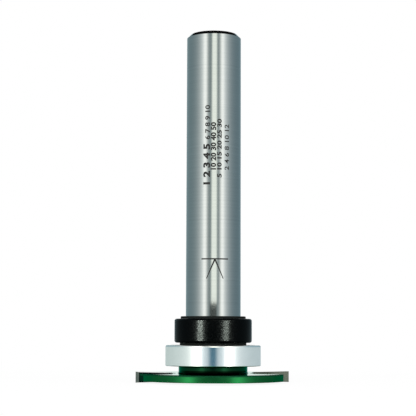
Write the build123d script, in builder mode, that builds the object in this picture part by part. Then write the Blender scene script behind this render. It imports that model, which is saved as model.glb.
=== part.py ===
from build123d import *

import os
from math import asin, cos, degrees, radians, sin, tan

# Groove cutter for weather seals, guided by a ball bearing on its own shank.
# It stands on its cutter head: the carbide tips reach z = 0, the shank points up
# along Z, and seen from above it cuts clockwise. All sizes are in millimetres.

# Shank and overall size
shank_diameter = 12.7
overall_height = 81.25
shank_chamfer = 0.85
undercut_width = 0.8
runout_width = 0.8
runout_hidden_by = 0.1
groove_depth = 0.2

# Two-wing disc and hub
wing_count = 2
cutting_diameter = 36.0
rim_setback = 1.0
web_thickness = 1.7
tip_overhang = 0.38
hub_diameter = 15.9
hub_height = 1.7
hub_fillet = 0.35
rim_edge_break = 0.12
centre_hole_diameter = 1.6
centre_hole_mouth = 3.4
centre_hole_depth = 4.0

# Carbide tips, in a frame whose x runs outward along the rake face
tip_heading = 6.2
hook_angle = 5.0
kerf = 2.5
tip_seat_gap = 0.88
tip_thickness = 2.1
end_relief_angle = 15.0
back_clearance_angle = 3.0
inward_clearance_angle = 1.3
shoulder_setback = 0.06
shoulder_span = 11.2

# Gullets, each from a rake face to the heel of the wing in front of it
gullet_span = 30.2
gullet_floor_span = 26.0
gullet_floor_gap = 0.8
rake_corner_radius = 0.8
heel_corner_radius = 2.2
heel_nose_radius = 0.6

# Guide bearing
bearing_diameter = 22.0
bearing_width = 4.7625
bearing_slip = 0.015
ring_foot_radius = 0.15
ring_top_radius = 0.4
bore_corner_chamfer = 0.2
ball_count = 12
ball_diameter = 2.381
ball_clearance = 0.03
raceway_depth = 0.45
raceway_conformity = 0.525
cage_thickness = 1.0
cage_back = 0.4
cage_lip = 0.45
pocket_clearance = 0.04
shield_thickness = 0.25
shield_recess = 0.2
shield_dish = 0.1
shield_lap = 0.36
shield_crimp = 0.15
shield_crimp_gap = 0.01
shield_bore_gap = 0.12

# Retaining collar and its grub screw
collar_diameter = 17.9
collar_height = 5.52
collar_round = 0.5
collar_slip = 0.03
collar_bore_chamfer = 0.2
upper_boss_wall = 1.15
upper_boss_height = 0.55
lower_boss_height = 0.53
lower_boss_land_gap = 0.2
boss_edge_break = 0.12
screw_diameter = 3.0
screw_gap = 0.02
screw_sink = 0.3
screw_end_chamfer = 0.3
socket_width = 1.5
socket_depth = 1.2

# Radii and heights that follow from the sizes above
shank_radius = shank_diameter / 2
cutting_radius = cutting_diameter / 2
rim_radius = cutting_radius - rim_setback
hub_radius = hub_diameter / 2
floor_radius = hub_radius + gullet_floor_gap
groove_radius = shank_radius - groove_depth
web_top = tip_overhang + web_thickness
bearing_seat = web_top + hub_height
bearing_middle = bearing_seat + bearing_width / 2
collar_seat = bearing_seat + bearing_width
collar_bottom = collar_seat + lower_boss_height
collar_top = collar_bottom + collar_height
boss_top = collar_top + upper_boss_height
runout_top = boss_top - runout_hidden_by

# Tip frame: where the cutting edge, the seat's inner end and the tip's back lie
rake_offset = cutting_radius * sin(radians(hook_angle))
edge_reach = cutting_radius * cos(radians(hook_angle))
seat_reach = floor_radius + tip_seat_gap
end_slope = tan(radians(hook_angle + end_relief_angle))
back_offset = rake_offset + tip_thickness
back_reach = edge_reach - tip_thickness * end_slope

# Raceways, lands and pitch circle
ball_radius = ball_diameter / 2
bearing_radius = bearing_diameter / 2
bore_radius = shank_radius + bearing_slip
pitch_radius = (shank_radius + bearing_radius) / 2
raceway_radius = raceway_conformity * ball_diameter
inner_raceway = pitch_radius - ball_radius - ball_clearance
outer_raceway = pitch_radius + ball_radius + ball_clearance
inner_land = inner_raceway + raceway_depth
outer_land = outer_raceway - raceway_depth
shield_shoulder = bearing_width / 2 - shield_recess - shield_thickness
shield_seat_radius = outer_land + shield_lap
crimp_radius = shield_seat_radius + shield_crimp


def polar(radius, angle):
    """Point of a plan view at this radius, with its angle in degrees from x."""
    return (radius * cos(radians(angle)), radius * sin(radians(angle)))


def corner(builder, x, y):
    """Vertex of a sketch that lies nearest to (x, y)."""
    return builder.vertices().sort_by_distance((x, y, 0))[0]


def save(builder, name):
    """Label a finished piece and write its file."""
    builder.part.label = name
    export_step(builder.part, f"parts/{name}.step")


os.makedirs("parts", exist_ok=True)

# Gullet outline in the tip frame: in along the rake face, round the floor beside
# the hub, and out along the sloping heel of the wing in front.
floor_start = degrees(asin(rake_offset / floor_radius))
floor_end = floor_start - gullet_floor_span
heel_angle = hook_angle - gullet_span
gullet_foot = Vector(*polar(floor_radius, floor_end))
gullet_heel = Vector(*polar(rim_radius, heel_angle))
past_the_rim = gullet_heel + (gullet_heel - gullet_foot).normalized() * 2 * rim_setback
with BuildSketch() as gullet_outline:
    with BuildLine():
        floor = CenterArc((0, 0), floor_radius, floor_start, -gullet_floor_span)
        Polyline(
            floor @ 1,
            past_the_rim,
            polar(cutting_radius + 2 * rim_setback, heel_angle / 2),
            (cutting_radius + rim_setback, rake_offset),
            floor @ 0,
        )
    make_face()
    fillet(corner(gullet_outline, *polar(floor_radius, floor_start)), rake_corner_radius)
    fillet(corner(gullet_outline, *polar(floor_radius, floor_end)), heel_corner_radius)

# Plan of the disc: full round, with a shoulder that backs each tip and falls to the
# rim, less the gullets and the open seats of the tips.
seat_length = cutting_radius + rim_setback - seat_reach
shoulder_peak = Vector(back_reach - shoulder_setback, back_offset)
shoulder_foot = polar(rim_radius, hook_angle + shoulder_span)
with BuildSketch() as shoulder_outline:
    with BuildLine():
        Polyline((0, 0), shoulder_peak, shoulder_foot, close=True)
    make_face()
with BuildSketch() as wing_plan:
    Circle(rim_radius)
    with PolarLocations(0, wing_count):
        add(shoulder_outline.sketch)
    with PolarLocations(0, wing_count):
        add(gullet_outline.sketch, mode=Mode.SUBTRACT)
        with Locations((seat_reach, rake_offset)):
            Rectangle(
                seat_length,
                tip_thickness,
                align=(Align.MIN, Align.MIN),
                mode=Mode.SUBTRACT,
            )
    for wing in range(wing_count):
        heel = polar(rim_radius, heel_angle + wing * 360 / wing_count)
        fillet(corner(wing_plan, *heel), heel_nose_radius)

# Shank, hub and disc are one turned piece, with the gullets and seats milled in it
with BuildPart() as shank_body:
    with BuildSketch(Plane.XZ) as turned_profile:
        with BuildLine():
            Polyline(
                (0, tip_overhang),
                (floor_radius, tip_overhang),
                (floor_radius, web_top),
                (hub_radius, web_top),
                (hub_radius, bearing_seat),
                (groove_radius, bearing_seat),
                (groove_radius, bearing_seat + undercut_width),
                (shank_radius, bearing_seat + undercut_width + groove_depth),
                (shank_radius, runout_top - runout_width),
                (groove_radius, runout_top - runout_width + groove_depth),
                (groove_radius, runout_top),
                (shank_radius, runout_top),
                (shank_radius, overall_height - shank_chamfer),
                (shank_radius - shank_chamfer, overall_height),
                (0, overall_height),
                close=True,
            )
        make_face()
        fillet(corner(turned_profile, hub_radius, web_top), hub_fillet)
    revolve(axis=Axis.Z)

    with BuildSketch(Plane.XY.offset(tip_overhang).rotated((0, 0, tip_heading))):
        add(wing_plan.sketch)
    extrude(amount=web_thickness)

    rim_edges = shank_body.edges().filter_by(
        lambda edge: edge.geom_type == GeomType.CIRCLE
        and abs(edge.radius - rim_radius) < rim_edge_break
    )
    chamfer(rim_edges, rim_edge_break)

    with BuildSketch(Plane.XZ):
        with BuildLine():
            Polyline(
                (0, tip_overhang),
                (centre_hole_mouth / 2, tip_overhang),
                (
                    centre_hole_diameter / 2,
                    tip_overhang
                    + (centre_hole_mouth - centre_hole_diameter) / 2 / tan(radians(30)),
                ),
                (centre_hole_diameter / 2, tip_overhang + centre_hole_depth),
                (0, tip_overhang + centre_hole_depth),
                close=True,
            )
        make_face()
    revolve(axis=Axis.Z, mode=Mode.SUBTRACT)
save(shank_body, "shank_body")

# Carbide tips: a flat plate against the back and the inner end of its seat, with
# end relief behind the cutting edge and both faces ground to clear the groove.
back_slope = tan(radians(back_clearance_angle))
inward_slope = tan(radians(inward_clearance_angle))
for number in range(1, wing_count + 1):
    tip_turn = tip_heading + (number - 1) * 360 / wing_count
    tip_plane = Plane.XY.rotated((0, 0, tip_turn))
    with BuildPart() as carbide_tip:
        with BuildSketch(tip_plane):
            with BuildLine():
                Polyline(
                    (seat_reach, rake_offset),
                    (edge_reach, rake_offset),
                    (back_reach, back_offset),
                    (seat_reach, back_offset),
                    close=True,
                )
            make_face()
        extrude(amount=kerf)
        for edge_height, facing in ((kerf, 1), (0, -1)):
            ground_face = Plane(
                origin=tip_plane.from_local_coords((edge_reach, rake_offset, edge_height)),
                z_dir=tip_plane.from_local_coords((-inward_slope, back_slope, facing)),
            )
            split(bisect_by=ground_face, keep=Keep.BOTTOM)
    save(carbide_tip, f"carbide_tip_{number}")

# Bearing rings
with BuildPart() as bearing_inner_ring:
    with BuildSketch(Plane.XZ) as inner_section:
        with Locations((bore_radius, bearing_middle)):
            Rectangle(inner_land - bore_radius, bearing_width, align=(Align.MIN, Align.CENTER))
        for end in (bearing_seat, collar_seat):
            chamfer(corner(inner_section, bore_radius, end), bore_corner_chamfer)
        with Locations((inner_raceway + raceway_radius, bearing_middle)):
            Circle(raceway_radius, mode=Mode.SUBTRACT)
    revolve(axis=Axis.Z)
save(bearing_inner_ring, "bearing_inner_ring")

with BuildPart() as bearing_outer_ring:
    with BuildSketch(Plane.XZ) as outer_section:
        with Locations((bearing_radius, bearing_middle)):
            Rectangle(bearing_radius - outer_land, bearing_width, align=(Align.MAX, Align.CENTER))
        for end, rounding in ((bearing_seat, ring_foot_radius), (collar_seat, ring_top_radius)):
            fillet(corner(outer_section, bearing_radius, end), rounding)
        with Locations((outer_raceway - raceway_radius, bearing_middle)):
            Circle(raceway_radius, mode=Mode.SUBTRACT)
        # Each side opens out for its shield, with an undercut that holds the shield's rim
        for side in (1, -1):
            step = bearing_middle + side * shield_shoulder
            face = bearing_middle + side * bearing_width / 2
            groove = step + side * shield_thickness
            with Locations((outer_land, (step + face) / 2)):
                Rectangle(
                    shield_seat_radius - outer_land,
                    abs(face - step),
                    align=(Align.MIN, Align.CENTER),
                    mode=Mode.SUBTRACT,
                )
            with Locations((outer_land, (step + groove) / 2)):
                Rectangle(
                    crimp_radius - outer_land,
                    shield_thickness,
                    align=(Align.MIN, Align.CENTER),
                    mode=Mode.SUBTRACT,
                )
    revolve(axis=Axis.Z)
save(bearing_outer_ring, "bearing_outer_ring")

# Pressed shields: a flat rim in the outer ring's undercut and a dished web that
# stops just short of the inner ring.
shield_rim = crimp_radius - shield_crimp_gap
shield_bore = inner_land + shield_bore_gap
for side, name in ((1, "bearing_shield_upper"), (-1, "bearing_shield_lower")):
    inside = bearing_middle + side * shield_shoulder
    outside = inside + side * shield_thickness
    with BuildPart() as bearing_shield:
        with BuildSketch(Plane.XZ):
            with BuildLine():
                Polyline(
                    (shield_rim, inside),
                    (outer_land, inside),
                    (outer_land - shield_dish, inside - side * shield_dish),
                    (shield_bore, inside - side * shield_dish),
                    (shield_bore, outside - side * shield_dish),
                    (outer_land - shield_dish, outside - side * shield_dish),
                    (outer_land, outside),
                    (shield_rim, outside),
                    close=True,
                )
            make_face()
        revolve(axis=Axis.Z)
    save(bearing_shield, name)

# Crown cage: a ring behind the balls whose lips reach past their middles, with a
# round pocket bored through for each ball.
pocket_radius = ball_radius + pocket_clearance
cage_bottom = bearing_middle - pocket_radius - cage_back
cage_top = bearing_middle + cage_lip
with BuildPart(Plane.XY.offset(bearing_middle)) as bearing_cage:
    with BuildSketch(Plane.XZ):
        with Locations((pitch_radius, cage_bottom)):
            Rectangle(cage_thickness, cage_top - cage_bottom, align=(Align.CENTER, Align.MIN))
    revolve(axis=Axis.Z)
    with PolarLocations(pitch_radius, ball_count):
        Cylinder(pocket_radius, 2 * cage_thickness, rotation=(0, 90, 0), mode=Mode.SUBTRACT)
save(bearing_cage, "bearing_cage")

for number in range(1, ball_count + 1):
    x, y = polar(pitch_radius, (number - 1) * 360 / ball_count)
    with BuildPart(Plane(origin=(x, y, bearing_middle))) as bearing_ball:
        Sphere(ball_radius)
    save(bearing_ball, f"bearing_ball_{number:02d}")

# Retaining collar: its lower boss bears on the inner ring only, and a tapped hole
# on the far side takes the screw that locks it.
collar_radius = collar_diameter / 2
collar_bore = shank_radius + collar_slip
lower_boss_radius = inner_land - lower_boss_land_gap
upper_boss_radius = collar_bore + upper_boss_wall
narrow_step = collar_radius - max(lower_boss_radius, upper_boss_radius)
screw_plane = Plane(
    origin=(0, 0, (collar_bottom + collar_top) / 2), x_dir=(1, 0, 0), z_dir=(0, 1, 0)
)
with BuildPart() as retaining_collar:
    with BuildSketch(Plane.XZ) as collar_profile:
        with BuildLine():
            Polyline(
                (collar_bore, collar_seat),
                (lower_boss_radius, collar_seat),
                (lower_boss_radius, collar_bottom),
                (collar_radius, collar_bottom),
                (collar_radius, collar_top),
                (upper_boss_radius, collar_top),
                (upper_boss_radius, boss_top),
                (collar_bore, boss_top),
                close=True,
            )
        make_face()
        for end in (collar_bottom, collar_top):
            fillet(corner(collar_profile, collar_radius, end), min(collar_round, narrow_step / 2))
        for end in (collar_seat, boss_top):
            chamfer(corner(collar_profile, collar_bore, end), collar_bore_chamfer)
        chamfer(corner(collar_profile, lower_boss_radius, collar_seat), boss_edge_break)
        chamfer(corner(collar_profile, upper_boss_radius, boss_top), boss_edge_break)
    revolve(axis=Axis.Z)
    with BuildSketch(screw_plane):
        Circle(screw_diameter / 2 + screw_gap)
    extrude(amount=collar_diameter, mode=Mode.SUBTRACT)
save(retaining_collar, "retaining_collar")

# Grub screw: hexagon socket outside, point against the shank, head just below the
# collar's surface. Its fine thread isn't modelled.
screw_length = collar_radius - screw_sink - shank_radius
with BuildPart() as collar_grub_screw:
    with BuildSketch(screw_plane.offset(shank_radius)):
        Circle(screw_diameter / 2)
    extrude(amount=screw_length)
    screw_ends = collar_grub_screw.edges().filter_by(GeomType.CIRCLE)
    chamfer(screw_ends, screw_end_chamfer)
    with BuildSketch(screw_plane.offset(shank_radius + screw_length)):
        RegularPolygon(socket_width / 2, 6, major_radius=False)
    extrude(amount=-socket_depth, mode=Mode.SUBTRACT)
save(collar_grub_screw, "collar_grub_screw")
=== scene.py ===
"""Looks of the weatherseal groove router bit: finishes, laser marks, studio and camera.

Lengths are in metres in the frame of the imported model, unless a comment says otherwise.
Azimuths are in degrees about the shank, 0 towards the camera and positive to its right.
"""

import math
from collections import namedtuple

import bmesh
import bpy
from mathutils import Matrix, Vector

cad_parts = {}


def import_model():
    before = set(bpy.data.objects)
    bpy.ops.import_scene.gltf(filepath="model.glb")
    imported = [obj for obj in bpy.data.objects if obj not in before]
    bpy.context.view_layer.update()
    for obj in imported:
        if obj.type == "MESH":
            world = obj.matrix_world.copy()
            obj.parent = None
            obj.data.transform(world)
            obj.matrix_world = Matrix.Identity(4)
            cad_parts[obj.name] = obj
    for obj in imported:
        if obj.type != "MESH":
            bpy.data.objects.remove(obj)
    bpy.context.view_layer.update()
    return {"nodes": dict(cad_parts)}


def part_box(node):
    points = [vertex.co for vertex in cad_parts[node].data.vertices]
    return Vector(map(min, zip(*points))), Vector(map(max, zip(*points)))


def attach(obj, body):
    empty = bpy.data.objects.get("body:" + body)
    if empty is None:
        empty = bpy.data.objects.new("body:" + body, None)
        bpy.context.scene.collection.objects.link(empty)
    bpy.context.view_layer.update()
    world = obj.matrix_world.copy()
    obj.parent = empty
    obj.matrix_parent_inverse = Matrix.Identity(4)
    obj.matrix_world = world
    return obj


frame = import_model()

MM = 0.001
SHANK_RADIUS = 6.35 * MM

# Heights on the hub and the disc where the green coat's finish and its painted shade
# change
GREEN_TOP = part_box("bearing_inner_ring")[0].z
DISC_TOP = 2.08 * MM
RIM_DULL = 1.70 * MM
HUB_LIT = (2.75 * MM, 3.45 * MM)
FACE_MARGIN = 0.02 * MM

# The tips' angle, then depths behind their rake sides and the reach of the shoulders,
# which bound the painted shade on the tips' backs and the shoulders
TIP_TURN = math.radians(6.2)
TIP_BACK = 3.67 * MM
TIP_SHADE_BACK = TIP_BACK - 0.25 * MM
SHOULDER_FRONT = TIP_BACK - 0.30 * MM
SHOULDER_BACK = 4.76 * MM
SHOULDER_REACH = 15.5 * MM

# The collar's wall, between its two small bosses
COLLAR_LOW, COLLAR_HIGH = (corner.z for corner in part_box("retaining_collar"))
LOWER_BOSS = 0.52 * MM
UPPER_BOSS = 0.54 * MM
COLLAR_WALL = (COLLAR_LOW + LOWER_BOSS, COLLAR_HIGH - UPPER_BOSS)

# Colours between which each finish varies from place to place
STEEL = ((0.305, 0.325, 0.33), (0.355, 0.375, 0.38))
GREEN = ((0.011, 0.130, 0.036), (0.013, 0.144, 0.042))
CARBIDE = ((0.165, 0.175, 0.145), (0.195, 0.200, 0.160))
RING_STEEL = ((0.88, 0.885, 0.87), (0.91, 0.915, 0.90))
SHIELD_STEEL = ((0.50, 0.52, 0.52), (0.60, 0.62, 0.62))
BALL_STEEL = ((0.76, 0.77, 0.78), (0.82, 0.82, 0.82))
CAGE_PLASTIC = ((0.56, 0.48, 0.32), (0.62, 0.54, 0.38))
BLACK_OXIDE = ((0.0002, 0.0004, 0.0006), (0.0006, 0.0012, 0.0015))
LASER_OXIDE = ((0.004, 0.004, 0.005), (0.022, 0.021, 0.020))
FLOOR_PAINT = ((0.86, 0.86, 0.86), (0.88, 0.88, 0.88))

# Colours of single places on the green coat and the tips, which are painted shade, and
# tints at grazing angles
# Painted shade on the hub under the bearing, and a lighter painted lit band across it
HUB_SHADE_GREEN = (0.001, 0.005, 0.002)
HUB_LIT_GREEN = (0.004, 0.034, 0.013)
# Painted shade on the green shoulders behind the tips
SHOULDER_SHADE_GREEN = (0.006, 0.036, 0.018)
# Painted shade on the rim's rougher upper band
RIM_SHADE_GREEN = (0.008, 0.072, 0.030)
# Painted shade on the tips' backs
TIP_BACK_SHADE = (0.004, 0.012, 0.012)
PLAIN_TINT = (1.0, 1.0, 1.0)
GREEN_TINT = (0.30, 0.75, 0.60)
# Darker grazing tint of the painted shade on the tips' backs
TIP_BACK_SHADE_TINT = (0.10, 0.20, 0.20)

# Roughness of the rim's dull band, the disc's glossy top and the collar's matt bosses
RIM_DULL_ROUGH = 0.36
DISC_TOP_ROUGH = 0.04
BOSS_ROUGH = 1.0

# Range in which nearly all of a noise's values lie
NOISE_LOW = 0.3
NOISE_HIGH = 0.7

# Ground and turned faces: share of anisotropy, and depth of their finest lines
GROUND_STRETCH = 0.9
GROUND_DEPTH = 0.0001 * MM

# Camera, worked out from the shank's sides, the collar, the bearing and the tips. The
# lens and the sensor are in millimetres and the angles in radians.
LENS = 112.519
SENSOR_WIDTH = 36.0
CAMERA_CLIP = (0.01, 10.0)
CAMERA_PLACE = (0.0, -302.149 * MM, 11.548 * MM)
CAMERA_PITCH = 0.0950566
CAMERA_YAW = -0.00426147
CAMERA_ROLL = 0.00335689

# Setting mark: a line with a caret under it, whose strokes narrow towards their tails
MARK_AZIMUTH = 3.2
MARK_HEIGHT = 28.14 * MM
MARK_LINE_LENGTH = 6.3 * MM
MARK_STROKE = 0.30 * MM
CARET_TOP_STROKE = 1.25 * MARK_STROKE
CARET_TAIL_STROKE = 0.6 * MARK_STROKE
CARET_HEIGHT = 4.5 * MM
CARET_SPREAD = 3.9 * MM

# All marks: how far they stand out of the shank and reach into it, the width of the
# strips that they are cut into for the bend, and how near two points are one
MARK_PROUD = 0.006 * MM
MARK_SUNK = 0.004 * MM
BEND_STEP = 0.25 * MM
MARK_MERGE = 0.001 * MM

# Plain numbers, in columns that read upward: text, azimuth, foot, length and height in
# millimetres, and how much the strokes are thickened, as a share of the text's size
NUMBER_COLUMNS = (
    ("1 2 3 4 5", -14.6, 45.2, 9.4, 1.65, 0.045),
    ("6 7 8 9 10", -12.8, 55.6, 8.0, 1.20, 0.022),
    ("10 20 30 40 50", -0.4, 48.6, 11.0, 1.25, 0.042),
    ("5 10 15 20 25 30", 12.0, 46.8, 13.6, 1.10, 0.034),
    ("2 4 6 8 10 12", 28.5, 48.6, 10.6, 1.15, 0.012),
)

# Studio screens, which the turned faces reflect: their radius, the azimuth that they
# end at, the width of their columns in degrees, and the rows of each level
SCREEN_RADIUS = 0.25
SCREEN_END = 171.0
SCREEN_STEP = 1.5
SCREEN_ROWS = 12

# Heights of the edges of the screens' levels, from the bottom up
SCREEN_BOTTOM = -0.50
RIM_TOP = -0.0057
BLUE_CARD_TOP = 0.008
SOFTBOX_FOOT = 0.0234
SCREEN_TOP = 0.225

# The two strip lights' colour and azimuths, and where the gap between them ends
STRIP_TINT = (1.06, 0.99, 0.91)
STRIP_LEFT = -38.0
STRIP_RIGHT = 38.5
GAP_EDGE = (25.0, 50.0)

# What a level shows: the walls and the gap, then the strips' level, their flat half
# width, and how softly they fall towards the camera and away from it, in degrees
Zone = namedtuple("Zone", "left_wall gap right_wall level flat inner outer")
SHANK_ZONE = Zone(
    left_wall=(0.325, 0.455, 0.485),
    gap=(0.53, 0.62, 0.61),
    right_wall=(0.277, 0.405, 0.455),
    level=1.95,
    flat=2.5,
    inner=9.5,
    outer=18.5,
)
BEARING_ZONE = Zone(
    left_wall=(0.51, 0.61, 0.60),
    gap=(0.54, 0.65, 0.70),
    right_wall=(0.48, 0.58, 0.61),
    level=1.3,
    flat=4.0,
    inner=5.0,
    outer=6.0,
)
RIM_ZONE = Zone(
    left_wall=(0.37, 0.47, 0.49),
    gap=(0.56, 0.62, 0.60),
    right_wall=(0.32, 0.40, 0.42),
    level=2.0,
    flat=2.5,
    inner=9.0,
    outer=11.0,
)

# Haze round the strips at the bearing's level, which falls more slowly on the left
HAZE_LEVEL = 0.42
HAZE_FLAT = 4.0
HAZE_INNER = 13.0
HAZE_OUTER_LEFT = 38.0
HAZE_OUTER_RIGHT = 30.0

# Panels in front: colour, then middle, half width and softness of the sides in degrees.
# The softbox's half width shrinks by SOFTBOX_TAPER degrees for each metre upward.
SOFTBOX = (2.25, 2.28, 2.04)
SOFTBOX_MIDDLE = 2.8
SOFTBOX_HALF = 11.6
SOFTBOX_TAPER = 13.0
SOFTBOX_SOFT = 4.5
DARK_CARD = (0.15, 0.17, 0.16)
DARK_CARD_WINDOW = (-0.5, 14.5, 5.0)
BLUE_CARD = (0.055, 0.165, 0.245)
BLUE_CARD_WINDOW = (-0.3, 8.8, 5.5)

# Ceiling, with a dark oval ring behind the bit: its centre along y, and its outer and
# inner reach along x and y
CEILING = (0.60, 0.62, 0.60)
CEILING_DARK = (0.01, 0.01, 0.01)
CEILING_RADIUS = 1.05 * SCREEN_RADIUS
DARK_CENTRE = 0.12
DARK_OUTER = (0.125, 0.16)
DARK_INNER = (0.032, 0.068)

# World and floor. The floor turns to plain white from FLOOR_NEAR to FLOOR_FAR.
WORLD_LEVEL = 0.85
FLOOR_RADIUS = 1.2
FLOOR_NEAR = 0.03
FLOOR_FAR = 0.16
FLOOR_WHITE = 0.90

# Soft lamps: name, place and power in watts
LAMPS = (
    ("key_lamp", (-0.35, -0.45, 0.55), 1.6),
    ("fill_lamp", (0.40, -0.35, 0.45), 1.2),
)
LAMP_SIZE = 0.5
LAMP_AIM = (0.0, 0.0, 0.03)

# Strip lights for the black collar and its screw: azimuth, width and power in watts
COLLAR_STRIPS = ((-38.5, 0.045, 103.0), (37.5, 0.070, 84.0))
COLLAR_STRIP_COLOUR = (0.88, 1.0, 0.90)
COLLAR_STRIP_HEIGHT = 0.30
COLLAR_STRIP_DISTANCE = 0.6


def new_object(name, data):
    """Object with this mesh, curve, light or camera, linked to the scene."""
    made = bpy.data.objects.new(name, data)
    bpy.context.scene.collection.objects.link(made)
    return made


def add(tree, kind, inputs=None, **settings):
    """New node of this kind, with its sockets filled from values or other sockets."""
    made = tree.nodes.new("ShaderNode" + kind)
    for name, value in settings.items():
        setattr(made, name, value)
    for name, value in (inputs or {}).items():
        if isinstance(value, bpy.types.NodeSocket):
            tree.links.new(value, made.inputs[name])
        else:
            made.inputs[name].default_value = value
    return made


def new_material(name):
    """Material with an empty tree and its output."""
    material = bpy.data.materials.new(name)
    material.use_nodes = True
    tree = material.node_tree
    tree.nodes.clear()
    return material, tree, add(tree, "OutputMaterial")


def finish_with(tree, output, inputs):
    """Puts a Principled shader with these inputs on the material's output."""
    shader = add(tree, "BsdfPrincipled", inputs)
    tree.links.new(shader.outputs["BSDF"], output.inputs["Surface"])


def calc(tree, operation, *values):
    """Result of a Math node."""
    return add(tree, "Math", dict(enumerate(values)), operation=operation).outputs[0]


def vector_calc(tree, operation, *values):
    """Result of a Vector Math node: a number for a length or a dot product."""
    made = add(tree, "VectorMath", dict(enumerate(values)), operation=operation)
    return made.outputs["Value" if operation in ("LENGTH", "DOT_PRODUCT") else "Vector"]


def place(tree):
    """The point on the piece, in metres from the shank's foot."""
    return add(tree, "TexCoord").outputs["Object"]


def height_of(tree, point):
    """Height of a point over the shank's foot."""
    return add(tree, "SeparateXYZ", {0: point}).outputs[2]


def turned_place(tree, point):
    """(radius, 0, height) of a point, the same all the way round a turned face."""
    x, y, z = add(tree, "SeparateXYZ", {0: point}).outputs
    flat = add(tree, "CombineXYZ", {0: x, 1: y}).outputs[0]
    radius = vector_calc(tree, "LENGTH", flat)
    return add(tree, "CombineXYZ", {0: radius, 2: z}).outputs[0]


def turned_tangent(tree):
    """Direction round the shank, along which turning and grinding lines run."""
    return add(tree, "Tangent", direction_type="RADIAL", axis="Z").outputs[0]


def noise(tree, point, grain, detail=2.0, stretch=(1.0, 1.0, 1.0)):
    """Noise whose grain has this size in metres, longer where stretch is small."""
    scaled = vector_calc(tree, "MULTIPLY", point, stretch)
    inputs = {"Vector": scaled, "Scale": 1.0 / grain, "Detail": detail}
    return add(tree, "TexNoise", inputs).outputs["Fac"]


def spread(tree, value, low, high):
    """A noise value, moved to run from low to high."""
    inputs = {
        "Value": value,
        "From Min": NOISE_LOW,
        "From Max": NOISE_HIGH,
        "To Min": low,
        "To Max": high,
    }
    return add(tree, "MapRange", inputs).outputs["Result"]


def mixed(tree, share, first, second):
    """Colour between two colours."""
    made = add(tree, "Mix", data_type="RGBA")
    for socket, value in ((0, share), (6, first), (7, second)):
        if isinstance(value, bpy.types.NodeSocket):
            tree.links.new(value, made.inputs[socket])
        else:
            made.inputs[socket].default_value = (*value, 1.0)
    return made.outputs[2]


def varied(tree, value, first, second):
    """Colour that runs from first to second with a noise value."""
    return mixed(tree, spread(tree, value, low=0.0, high=1.0), first, second)


def mixed_value(tree, share, first, second):
    """Number between two numbers."""
    made = add(tree, "Mix", {0: share, 2: first, 3: second}, data_type="FLOAT")
    return made.outputs[0]


def bumped(tree, height, depth):
    """Normal raised by a height that runs from 0 to 1, as deep as depth in metres."""
    return add(tree, "Bump", {"Height": height, "Distance": depth}).outputs["Normal"]


def within(tree, value, low, high):
    """1 where a value lies between two limits, and 0 elsewhere."""
    over = calc(tree, "GREATER_THAN", value, low)
    under = calc(tree, "LESS_THAN", value, high)
    return calc(tree, "MULTIPLY", over, under)


def wing_place(tree, point):
    """Reach along a wing's tip and depth behind its rake side, alike for both wings."""
    along = (math.cos(TIP_TURN), math.sin(TIP_TURN), 0.0)
    across = (-math.sin(TIP_TURN), math.cos(TIP_TURN), 0.0)
    reach = vector_calc(tree, "DOT_PRODUCT", point, along)
    depth = vector_calc(tree, "DOT_PRODUCT", point, across)
    side = calc(tree, "SIGN", reach)
    return calc(tree, "ABSOLUTE", reach), calc(tree, "MULTIPLY", depth, side)


def shank_material():
    """Fine ground steel, with a green coat on the hub and the disc under the bearing.

    The coat has painted shade in the hub's recess under the bearing, lighter in a painted
    lit band, and on the shoulders behind the tips, and is rougher and darkened with
    painted shade along the rim's upper edge.
    """
    material, tree, output = new_material("ground_steel_and_green_coat")
    point = place(tree)
    height = height_of(tree, point)
    coated = calc(tree, "LESS_THAN", height, GREEN_TOP)

    turned = turned_place(tree, point)
    lines = noise(tree, turned, grain=0.06 * MM, detail=3.0)
    drift = noise(tree, point, grain=4.0 * MM, stretch=(1.0, 1.0, 0.3))
    feed = noise(tree, turned, grain=0.45 * MM, detail=4.0)
    tone = mixed_value(tree, share=0.75, first=drift, second=feed)
    steel = varied(tree, tone, *STEEL)
    steel_rough = spread(tree, lines, low=0.060, high=0.085)

    hub = within(tree, height, DISC_TOP + FACE_MARGIN, GREEN_TOP)
    lit = within(tree, height, *HUB_LIT)
    top = within(tree, height, DISC_TOP - FACE_MARGIN, DISC_TOP + FACE_MARGIN)
    dull = within(tree, height, RIM_DULL, DISC_TOP - FACE_MARGIN)
    # Painted shade on the shoulders behind both tips
    reach, behind = wing_place(tree, point)
    outer = calc(tree, "GREATER_THAN", reach, SHOULDER_REACH)
    shoulder = within(tree, behind, SHOULDER_FRONT, SHOULDER_BACK)
    shoulder_shade = calc(tree, "MULTIPLY", outer, shoulder)

    green = varied(tree, noise(tree, point, grain=1.2 * MM), *GREEN)
    # Painted shade on the hub, lighter in its painted lit band
    green = mixed(tree, hub, green, mixed(tree, lit, HUB_SHADE_GREEN, HUB_LIT_GREEN))
    green = mixed(tree, shoulder_shade, green, SHOULDER_SHADE_GREEN)
    # The rim's upper band is rougher, and darkened with painted shade
    green = mixed(tree, dull, green, RIM_SHADE_GREEN)
    peel = noise(tree, point, grain=0.35 * MM, detail=3.0)
    green_rough = spread(tree, peel, low=0.10, high=0.15)
    green_rough = mixed_value(tree, dull, green_rough, RIM_DULL_ROUGH)
    green_rough = mixed_value(tree, top, green_rough, DISC_TOP_ROUGH)
    skin = mixed_value(tree, coated, lines, peel)

    finish_with(
        tree,
        output,
        {
            "Base Color": mixed(tree, coated, steel, green),
            "Metallic": 1.0,
            "Specular Tint": mixed(tree, coated, PLAIN_TINT, GREEN_TINT),
            "Roughness": mixed_value(tree, coated, steel_rough, green_rough),
            "Anisotropic": GROUND_STRETCH,
            "Tangent": turned_tangent(tree),
            "Normal": bumped(tree, skin, GROUND_DEPTH),
        },
    )
    return material


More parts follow.
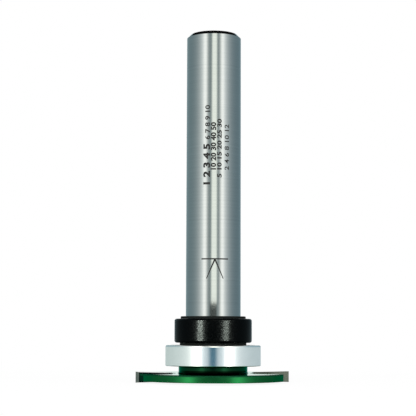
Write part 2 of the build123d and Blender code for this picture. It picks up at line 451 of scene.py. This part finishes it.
def carbide_material():
    """Grey carbide, ground with fine lines along the tip, darkened at its back with
    painted shade.
    """
    material, tree, output = new_material("ground_carbide")
    point = place(tree)
    lines = noise(tree, point, grain=0.05 * MM, detail=3.0, stretch=(0.1, 0.1, 1.0))
    ground = varied(tree, noise(tree, point, grain=1.5 * MM), *CARBIDE)
    behind = wing_place(tree, point)[1]
    # Painted shade on the tip's back, in its colour and its grazing tint
    back = calc(tree, "GREATER_THAN", behind, TIP_SHADE_BACK)
    finish_with(
        tree,
        output,
        {
            "Base Color": mixed(tree, back, ground, TIP_BACK_SHADE),
            "Metallic": 1.0,
            "Specular Tint": mixed(tree, back, PLAIN_TINT, TIP_BACK_SHADE_TINT),
            "Roughness": spread(tree, lines, low=0.16, high=0.26),
            "Normal": bumped(tree, lines, depth=0.0003 * MM),
        },
    )
    return material


def ring_material():
    """Bearing steel with the fine lines of centreless grinding."""
    material, tree, output = new_material("ground_bearing_steel")
    point = place(tree)
    lines = noise(tree, turned_place(tree, point), grain=0.05 * MM, detail=3.0)
    cloud = noise(tree, point, grain=2.0 * MM, detail=3.0)
    finish_with(
        tree,
        output,
        {
            "Base Color": varied(tree, cloud, *RING_STEEL),
            "Metallic": 1.0,
            "Roughness": spread(tree, lines, low=0.09, high=0.12),
            "Anisotropic": GROUND_STRETCH,
            "Tangent": turned_tangent(tree),
            "Normal": bumped(tree, lines, GROUND_DEPTH),
        },
    )
    return material


def pressed_material():
    """Pressed shield sheet: duller steel with a faint rolled grain."""
    material, tree, output = new_material("pressed_shield_steel")
    rolled = (0.15, 1.0, 1.0)
    grain = noise(tree, place(tree), grain=0.15 * MM, detail=3.0, stretch=rolled)
    finish_with(
        tree,
        output,
        {
            "Base Color": varied(tree, grain, *SHIELD_STEEL),
            "Metallic": 1.0,
            "Roughness": spread(tree, grain, low=0.36, high=0.48),
            "Normal": bumped(tree, grain, depth=0.002 * MM),
        },
    )
    return material


def ball_material():
    """Polished ball steel, with the faintest wander in its gloss."""
    material, tree, output = new_material("polished_ball_steel")
    cloud = noise(tree, place(tree), grain=0.5 * MM)
    finish_with(
        tree,
        output,
        {
            "Base Color": varied(tree, cloud, *BALL_STEEL),
            "Metallic": 1.0,
            "Roughness": spread(tree, cloud, low=0.05, high=0.10),
        },
    )
    return material


def cage_material():
    """Moulded cage plastic, cream, with a fine matt skin."""
    material, tree, output = new_material("moulded_cage_plastic")
    grain = noise(tree, place(tree), grain=0.08 * MM, detail=3.0)
    finish_with(
        tree,
        output,
        {
            "Base Color": varied(tree, grain, *CAGE_PLASTIC),
            "Roughness": spread(tree, grain, low=0.45, high=0.58),
            "Normal": bumped(tree, grain, depth=0.003 * MM),
        },
    )
    return material


def oxide_material():
    """Satin black oxide, with turning lines and a fine grain that shows in highlights.

    Above and below the collar's wall, on its two small bosses, it is fully matt.
    """
    material, tree, output = new_material("satin_black_oxide")
    point = place(tree)
    wall = within(tree, height_of(tree, point), *COLLAR_WALL)
    lines = noise(tree, turned_place(tree, point), grain=0.10 * MM, detail=3.0)
    grain = noise(tree, point, grain=0.36 * MM, detail=3.0)
    skin = mixed_value(tree, share=0.2, first=grain, second=lines)
    satin = spread(tree, grain, low=0.12, high=0.21)
    finish_with(
        tree,
        output,
        {
            "Base Color": varied(tree, grain, *BLACK_OXIDE),
            "Roughness": mixed_value(tree, wall, BOSS_ROUGH, satin),
            "Specular IOR Level": 0.03,
            "Normal": bumped(tree, skin, depth=0.009 * MM),
        },
    )
    return material


def laser_material():
    """Dark laser mark: a thin oxide skin with a burnt grain."""
    material, tree, output = new_material("laser_mark_oxide")
    grain = noise(tree, place(tree), grain=0.05 * MM)
    finish_with(
        tree,
        output,
        {
            "Base Color": varied(tree, grain, *LASER_OXIDE),
            "Metallic": 0.3,
            "Roughness": spread(tree, grain, low=0.45, high=0.62),
        },
    )
    return material


def dress_nodes():
    """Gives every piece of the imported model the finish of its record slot."""
    by_slot = {
        "ground_steel": shank_material(),
        "carbide": carbide_material(),
        "bearing_steel": ring_material(),
        "shield_steel": pressed_material(),
        "ball_steel": ball_material(),
        "cage_plastic": cage_material(),
        "black_oxide": oxide_material(),
    }
    for node in frame["nodes"].values():
        for held in node.material_slots:
            held.material = by_slot[held.material.name.split(".")[0]]


def slice_for_bend(work):
    """Cuts a flat mesh into narrow strips along the shank, so it bends smoothly."""
    lefts = [vertex.co.y for vertex in work.verts]
    cut = math.floor(min(lefts) / BEND_STEP) * BEND_STEP
    while cut < max(lefts):
        cut += BEND_STEP
        bmesh.ops.bisect_plane(
            work,
            geom=work.verts[:] + work.edges[:] + work.faces[:],
            plane_co=(0, cut, 0),
            plane_no=(0, 1, 0),
        )


def wrap_on_shank(mesh, azimuth, foot):
    """Bends a flat mesh on to the shank: x goes up it, y to its left and z outward."""
    for vertex in mesh.vertices:
        up, left, out = vertex.co
        turn = math.radians(azimuth) - left / SHANK_RADIUS
        reach = SHANK_RADIUS + out
        vertex.co = (reach * math.sin(turn), -reach * math.cos(turn), foot + up)
    mesh.update()


def put_mark(name, work, azimuth, foot, material):
    """Turns a flat mark into a piece on the shank, which rides with the cutter."""
    mesh = bpy.data.meshes.new(name)
    work.to_mesh(mesh)
    work.free()
    wrap_on_shank(mesh, azimuth, foot)
    mesh.materials.append(material)
    piece = new_object(name, mesh)
    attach(piece, "cutter")


def stroke(work, start, end, start_width, end_width):
    """Flat bar between two points, as a closed solid as thick as the mark."""
    a, b = Vector(start), Vector(end)
    side = (b - a).normalized().orthogonal()
    corners = (
        a + side * start_width / 2,
        a - side * start_width / 2,
        b - side * end_width / 2,
        b + side * end_width / 2,
    )
    low = [work.verts.new((p.x, p.y, -MARK_SUNK)) for p in corners]
    high = [work.verts.new((p.x, p.y, MARK_PROUD)) for p in corners]
    work.faces.new(high)
    work.faces.new(low[::-1])
    for i in range(4):
        work.faces.new((low[i], low[i - 1], high[i - 1], high[i]))


def setting_mark(material):
    """The line that the shank is set to in the collet, with a caret pointing at it."""
    work = bmesh.new()
    half = MARK_LINE_LENGTH / 2
    stroke(work, (0, -half), (0, half), MARK_STROKE, MARK_STROKE)
    for way in (1, -1):
        top = (-MARK_STROKE / 4, 0)
        tail = (-CARET_HEIGHT, way * CARET_SPREAD / 2)
        stroke(work, top, tail, CARET_TOP_STROKE, CARET_TAIL_STROKE)
    bmesh.ops.recalc_face_normals(work, faces=work.faces[:])
    slice_for_bend(work)
    put_mark("setting_mark", work, MARK_AZIMUTH, MARK_HEIGHT, material)


def flat_text(text, length, height, weight):
    """Flat mesh of a line of text, as long and high as given, from x = 0 along x."""
    curve = bpy.data.curves.new("mark_text", "FONT")
    curve.body = text
    curve.offset = weight
    curve.resolution_u = 3
    holder = new_object(curve.name, curve)
    bpy.context.view_layer.update()
    flat = bpy.data.meshes.new_from_object(holder)
    bpy.data.objects.remove(holder)
    bpy.data.curves.remove(curve)

    xs = [vertex.co.x for vertex in flat.vertices]
    ys = [vertex.co.y for vertex in flat.vertices]
    shift = Matrix.Translation((-min(xs), -(min(ys) + max(ys)) / 2, 0))
    along = length / (max(xs) - min(xs))
    across = height / (max(ys) - min(ys))
    flat.transform(Matrix.Diagonal((along, across, 1.0, 1.0)) @ shift)
    return flat


def number_column(number, text, azimuth, foot, length, height, weight, material):
    """One column of plain numbers, reading upward along the shank."""
    flat = flat_text(text, length * MM, height * MM, weight)
    work = bmesh.new()
    work.from_mesh(flat)
    bpy.data.meshes.remove(flat)
    bmesh.ops.remove_doubles(work, verts=work.verts[:], dist=MARK_MERGE)
    slice_for_bend(work)
    top = bmesh.ops.extrude_face_region(work, geom=work.faces[:])
    lifted = [item for item in top["geom"] if isinstance(item, bmesh.types.BMVert)]
    for vertex in work.verts:
        vertex.co.z = -MARK_SUNK
    for vertex in lifted:
        vertex.co.z = MARK_PROUD
    bmesh.ops.recalc_face_normals(work, faces=work.faces[:])
    put_mark(f"shank_numbers_{number}", work, azimuth, foot * MM, material)


def laser_marks():
    """The setting mark and the columns of plain numbers above it."""
    material = laser_material()
    setting_mark(material)
    for number, column in enumerate(NUMBER_COLUMNS, 1):
        number_column(number, *column, material)


def blend(share, first, second):
    """Colour between two colours."""
    return tuple(a + (b - a) * share for a, b in zip(first, second))


def rise(value, start, end):
    """0 up to start, 1 from end on, and a smooth rise between them."""
    share = min(1.0, max(0.0, (value - start) / (end - start)))
    return share * share * (3.0 - 2.0 * share)


def window(azimuth, middle, half, soft):
    """1 inside a panel's width, 0 outside it, with soft edges."""
    past = abs(azimuth - middle) - half
    return 1.0 - rise(past, -soft, soft)


def strip_share(past, flat, inner, outer):
    """Share of a strip light's level this far past its middle, away from the camera."""
    if past < -flat:
        return math.exp(-(((past + flat) / inner) ** 2))
    return math.exp(-max(0.0, past - flat) / outer)


def open_glow(azimuth, zone):
    """Side walls, the gap between the strip lights, and the strips with their glow."""
    wall = zone.left_wall if azimuth < 0 else zone.right_wall
    ground = blend(rise(abs(azimuth), *GAP_EDGE), zone.gap, wall)
    level = zone.level * sum(
        strip_share(past, zone.flat, zone.inner, zone.outer)
        for past in (STRIP_LEFT - azimuth, azimuth - STRIP_RIGHT)
    )
    return tuple(part + tint * level for part, tint in zip(ground, STRIP_TINT))


def softbox_glow(azimuth, height):
    """The softbox over the camera, a little wider towards its foot."""
    half = SOFTBOX_HALF - SOFTBOX_TAPER * (height - SOFTBOX_FOOT)
    share = window(azimuth, SOFTBOX_MIDDLE, half, SOFTBOX_SOFT)
    return blend(share, open_glow(azimuth, SHANK_ZONE), SOFTBOX)


def dark_card_glow(azimuth, _height):
    """The dark card under the softbox."""
    share = window(azimuth, *DARK_CARD_WINDOW)
    return blend(share, open_glow(azimuth, SHANK_ZONE), DARK_CARD)


def blue_card_glow(azimuth, _height):
    """The narrower dark blue card under the dark one, in a wide soft haze."""
    left = strip_share(STRIP_LEFT - azimuth, HAZE_FLAT, HAZE_INNER, HAZE_OUTER_LEFT)
    right = strip_share(azimuth - STRIP_RIGHT, HAZE_FLAT, HAZE_INNER, HAZE_OUTER_RIGHT)
    haze = HAZE_LEVEL * (left + right)
    glow = tuple(part + haze for part in open_glow(azimuth, BEARING_ZONE))
    return blend(window(azimuth, *BLUE_CARD_WINDOW), glow, BLUE_CARD)


def floor_glow(azimuth, _height):
    """The lowest level, which the disc's rim reflects."""
    return open_glow(azimuth, RIM_ZONE)


def emission(tree, colour):
    """Plain light of a colour, at which a strength of 1 is white."""
    return add(tree, "Emission", {"Color": colour, "Strength": 1.0}).outputs[0]


def glow_material(name):
    """Plain light of the colour that the mesh holds."""
    material, tree, output = new_material(name)
    colour = add(tree, "Attribute", attribute_name="glow").outputs["Color"]
    tree.links.new(emission(tree, colour), output.inputs["Surface"])
    return material


def only_reflected(panel):
    """Studio piece that shows in reflections alone and lets other light through."""
    panel.visible_camera = False
    panel.visible_diffuse = False
    panel.visible_shadow = False
    panel.visible_volume_scatter = False


def screen(name, bottom, top, glow, material):
    """Curved studio panel round the bit, seen only in reflections, coloured by glow."""
    columns = round(2 * SCREEN_END / SCREEN_STEP)
    points, colours, faces = [], [], []
    for i in range(columns + 1):
        azimuth = 2 * SCREEN_END * i / columns - SCREEN_END
        turn = math.radians(azimuth)
        x, y = SCREEN_RADIUS * math.sin(turn), -SCREEN_RADIUS * math.cos(turn)
        for k in range(SCREEN_ROWS + 1):
            height = bottom + (top - bottom) * k / SCREEN_ROWS
            points.append((x, y, height))
            colours.append((*glow(azimuth, height), 1.0))
            if i and k:
                corner = i * (SCREEN_ROWS + 1) + k
                before = corner - SCREEN_ROWS - 1
                faces.append((corner, corner - 1, before - 1, before))
    mesh = bpy.data.meshes.new(name)
    mesh.from_pydata(points, [], faces)
    held = mesh.attributes.new("glow", "FLOAT_COLOR", "POINT")
    for item, colour in zip(held.data, colours):
        item.color = colour
    mesh.materials.append(material)
    only_reflected(new_object(name, mesh))


def disc_mesh(name, segments, radius):
    """Flat round mesh about the shank's axis."""
    work = bmesh.new()
    bmesh.ops.create_circle(work, cap_ends=True, segments=segments, radius=radius)
    mesh = bpy.data.meshes.new(name)
    work.to_mesh(mesh)
    work.free()
    return mesh


def oval(tree, point, reach):
    """Distance from the dark oval's centre, as a share of its reach along x and y."""
    shift = vector_calc(tree, "SUBTRACT", point, (0.0, DARK_CENTRE, 0.0))
    scale = (1 / reach[0], 1 / reach[1], 0.0)
    return vector_calc(tree, "LENGTH", vector_calc(tree, "MULTIPLY", shift, scale))


def ceiling():
    """Pale cover with the dark oval ring that the shank's top edge reflects."""
    material, tree, output = new_material("ceiling_cloth")
    point = place(tree)
    inside = calc(tree, "LESS_THAN", oval(tree, point, DARK_OUTER), 1.0)
    outside = calc(tree, "GREATER_THAN", oval(tree, point, DARK_INNER), 1.0)
    dark = calc(tree, "MULTIPLY", inside, outside)
    light = emission(tree, mixed(tree, dark, CEILING, CEILING_DARK))
    tree.links.new(light, output.inputs["Surface"])
    mesh = disc_mesh("ceiling", segments=48, radius=CEILING_RADIUS)
    mesh.materials.append(material)
    cover = new_object("ceiling", mesh)
    cover.location.z = SCREEN_TOP
    only_reflected(cover)


def shows_white(tree):
    """1 for the rays that see the white background: camera, glossy and transmission."""
    path = add(tree, "LightPath").outputs
    either = calc(tree, "MAXIMUM", path["Is Camera Ray"], path["Is Glossy Ray"])
    return calc(tree, "MAXIMUM", either, path["Is Transmission Ray"])


def floor():
    """Pale floor that keeps the bit's shadow and runs out to plain white."""
    material, tree, output = new_material("pale_floor")
    point = place(tree)
    paint = varied(tree, noise(tree, point, grain=0.9 * MM), *FLOOR_PAINT)
    matt = add(tree, "BsdfDiffuse", {"Color": paint}).outputs[0]
    white = emission(tree, (1.0, 1.0, 1.0, 1.0))
    inputs = {
        "Value": vector_calc(tree, "LENGTH", point),
        "From Min": FLOOR_NEAR,
        "From Max": FLOOR_FAR,
        "To Min": FLOOR_WHITE,
        "To Max": 1.0,
    }
    far = add(tree, "MapRange", inputs, interpolation_type="SMOOTHSTEP")
    share = calc(tree, "MULTIPLY", far.outputs["Result"], shows_white(tree))
    both = add(tree, "MixShader", {0: share, 1: matt, 2: white}).outputs[0]
    tree.links.new(both, output.inputs["Surface"])
    mesh = disc_mesh("floor", segments=96, radius=FLOOR_RADIUS)
    mesh.materials.append(material)
    ground = new_object("floor", mesh)
    ground.visible_glossy = False


def world():
    """White where it is seen, and a plain light level for everything that it lights."""
    made = bpy.data.worlds.new("studio_world")
    made.use_nodes = True
    tree = made.node_tree
    tree.nodes.clear()
    level = mixed_value(tree, shows_white(tree), WORLD_LEVEL, 1.0)
    light = add(tree, "Background", {"Color": (1.0, 1.0, 1.0, 1.0), "Strength": level})
    output = add(tree, "OutputWorld")
    tree.links.new(light.outputs[0], output.inputs["Surface"])
    bpy.context.scene.world = made


def studio():
    """Screens stacked round the bit, under a ceiling, on a floor in a white world."""
    material = glow_material("studio_glow")
    for name, bottom, top, glow in (
        ("screen_floor", SCREEN_BOTTOM, RIM_TOP, floor_glow),
        ("screen_blue_card", RIM_TOP, BLUE_CARD_TOP, blue_card_glow),
        ("screen_dark_card", BLUE_CARD_TOP, SOFTBOX_FOOT, dark_card_glow),
        ("screen_softbox", SOFTBOX_FOOT, SCREEN_TOP, softbox_glow),
    ):
        screen(name, bottom, top, glow, material)
    ceiling()
    floor()
    world()


def area_lamp(name, shape, size, power, spot, aim):
    """Area lamp at a spot, turned to face a point."""
    light = bpy.data.lights.new(name, "AREA")
    light.shape = shape
    light.size = size
    light.energy = power
    lamp = new_object(name, light)
    lamp.location = spot
    lamp.rotation_mode = "QUATERNION"
    lamp.rotation_quaternion = (Vector(aim) - Vector(spot)).to_track_quat("-Z", "Y")
    return lamp


def lamps():
    """Two wide soft lamps that light the dull surfaces and cast the soft shadow."""
    for name, spot, power in LAMPS:
        lamp = area_lamp(name, "DISK", LAMP_SIZE, power, spot, LAMP_AIM)
        lamp.visible_glossy = False


def collar_strips():
    """Two bright strip lights that only the black collar and its screw catch."""
    caught = bpy.data.collections.new("black_parts")
    for name in ("retaining_collar", "collar_grub_screw"):
        caught.objects.link(frame["nodes"][name])
    for number, (azimuth, width, power) in enumerate(COLLAR_STRIPS, 1):
        turn = math.radians(azimuth)
        away = Vector((math.sin(turn), -math.cos(turn), 0.0)) * COLLAR_STRIP_DISTANCE
        lamp = area_lamp(
            f"collar_strip_{number}", "RECTANGLE", width, power, away, (0.0, 0.0, 0.0)
        )
        lamp.data.size_y = COLLAR_STRIP_HEIGHT
        lamp.data.color = COLLAR_STRIP_COLOUR
        lamp.visible_camera = False
        lamp.visible_diffuse = False
        lamp.light_linking.receiver_collection = caught


def camera():
    """Camera at the photograph's place, aim and roll."""
    yaw, pitch, roll = CAMERA_YAW, CAMERA_PITCH, CAMERA_ROLL
    forward = Vector(
        (
            math.sin(yaw) * math.cos(pitch),
            math.cos(yaw) * math.cos(pitch),
            math.sin(pitch),
        )
    )
    right = Vector((math.cos(yaw), -math.sin(yaw), 0.0))
    up = right.cross(forward)
    rolled_right = right * math.cos(roll) + up * math.sin(roll)
    rolled_up = up * math.cos(roll) - right * math.sin(roll)
    turn = Matrix((rolled_right, rolled_up, -forward)).transposed()
    data = bpy.data.cameras.new("camera")
    data.lens = LENS
    data.sensor_width = SENSOR_WIDTH
    data.clip_start, data.clip_end = CAMERA_CLIP
    eye = new_object("camera", data)
    eye.matrix_world = Matrix.Translation(CAMERA_PLACE) @ turn.to_4x4()
    bpy.context.scene.camera = eye


dress_nodes()
laser_marks()
studio()
lamps()
collar_strips()
camera()

bpy.context.scene.view_settings.view_transform = "Standard"
